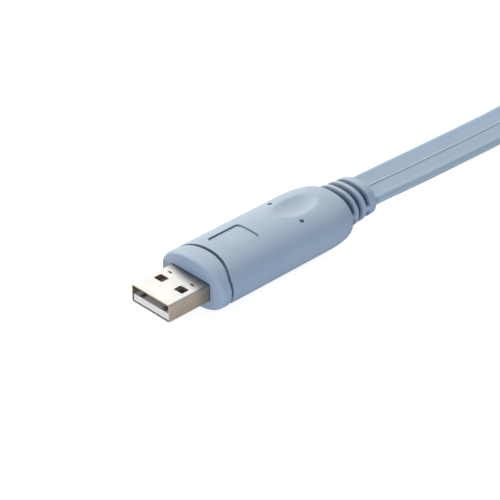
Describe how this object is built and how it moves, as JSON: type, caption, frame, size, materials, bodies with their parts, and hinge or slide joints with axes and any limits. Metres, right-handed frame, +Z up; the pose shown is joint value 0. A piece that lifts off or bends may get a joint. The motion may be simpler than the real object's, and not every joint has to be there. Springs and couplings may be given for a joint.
{
  "type": "console cable",
  "caption": "Flat ribbon console cable with a moulded USB-A plug and strain relief on one end and a clear modular data plug on the other.",
  "frame": {"origin": "middle of the underside of the USB end, from the plug's mouth to the strain relief's end, on the surface it lies on", "axes": "+X from the USB plug's mouth along the housing to the cord, +Z up out of the housing's face that has the recessed panel"},
  "size_m": [0.3259, 0.0714, 0.0119],
  "materials": {
    "shell_steel": "bright plated sheet steel",
    "insulator_white": "moulded white plastic",
    "contact_gold": "gold plated",
    "housing_blue": "satin moulded elastomer",
    "cord_blue": "satin extruded jacket",
    "strap_black": "hook and loop strap",
    "plug_clear": "clear moulded plastic"
  },
  "bodies": {
    "root": {"usb_shell": "shell_steel", "usb_tongue": "insulator_white", "usb_contact_1": "contact_gold", "usb_contact_2": "contact_gold", "usb_contact_3": "contact_gold", "usb_contact_4": "contact_gold", "nose_cap": "housing_blue", "housing": "housing_blue", "strain_relief": "housing_blue", "ribbon_lead": "cord_blue", "ribbon_hank": "cord_blue", "ribbon_tail": "cord_blue", "tie_1": "strap_black", "tie_2": "strap_black", "modular_plug": "plug_clear", "plug_contact_1": "contact_gold", "plug_contact_2": "contact_gold", "plug_contact_3": "contact_gold", "plug_contact_4": "contact_gold", "plug_contact_5": "contact_gold", "plug_contact_6": "contact_gold", "plug_contact_7": "contact_gold", "plug_contact_8": "contact_gold"}
  },
  "joints": []
}
